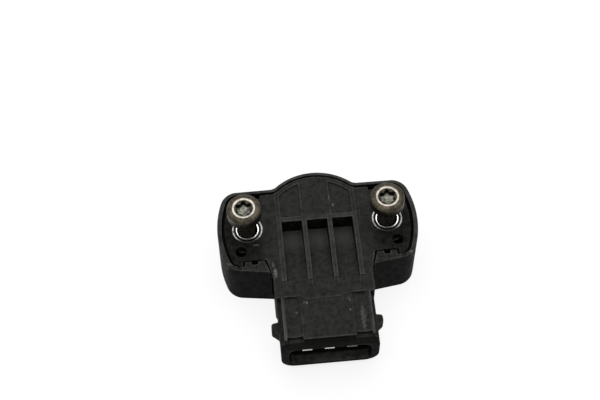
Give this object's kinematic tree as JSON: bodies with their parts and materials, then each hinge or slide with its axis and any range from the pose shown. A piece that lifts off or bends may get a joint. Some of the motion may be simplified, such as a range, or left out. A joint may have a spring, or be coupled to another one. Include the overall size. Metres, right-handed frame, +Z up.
{
  "type": "throttle position sensor",
  "caption": "Two-winged moulded sensor with a ribbed lid and a three-way connector, whose rotor is turned by the throttle shaft.",
  "frame": {"origin": "where the throttle shaft's axis meets the mounting face", "axes": "+Z up from the mounting face to the lid, +X along the line of the two screws, connector towards -Y"},
  "size_m": [0.0456, 0.0432, 0.0231],
  "materials": {
    "housing_plastic": "matte black glass-filled polyester, scuffed on its rim",
    "cover_plastic": "matte black glass-filled polyester, mottled grey with wear",
    "sealant": "dull black sealing compound",
    "bush_steel": "bright plated steel",
    "screw_steel": "yellowed zinc plate, worn bright on the flat of the head",
    "tinned_blade": "bright tinned brass",
    "board_ceramic": "matt ceramic substrate",
    "carbon_ink": "matt printed carbon",
    "silver_ink": "dull printed silver",
    "rotor_plastic": "natural moulded plastic, satin",
    "wiper_bronze": "bright spring bronze",
    "washer_steel": "plain steel",
    "spring_steel": "drawn spring wire",
    "seal_rubber": "matt black rubber"
  },
  "bodies": {
    "casing": {"housing": "housing_plastic", "cover": "cover_plastic", "cover_sealant": "sealant", "bush_left": "bush_steel", "bush_right": "bush_steel", "sleeve_left": "bush_steel", "sleeve_right": "bush_steel", "screw_left": "screw_steel", "screw_right": "screw_steel", "terminal_1": "tinned_blade", "terminal_2": "tinned_blade", "terminal_3": "tinned_blade", "track_board": "board_ceramic", "resistive_track": "carbon_ink", "collector_track": "silver_ink", "thrust_washer": "washer_steel", "return_spring": "spring_steel", "shaft_seal": "seal_rubber", "face_seal": "seal_rubber"},
    "rotor_set": {"rotor": "rotor_plastic", "wiper": "wiper_bronze"}
  },
  "joints": [
    {"name": "rotor_turn", "type": "hinge", "parent": "casing", "child": "rotor_set", "pos_m": [0, 0, 0.004], "axis": [0, 0, 1], "range_deg": [0, 100], "stiffness_Nm_per_rad": 0.0004, "springref_deg": -22.92, "deforming": ["return_spring"]}
  ]
}
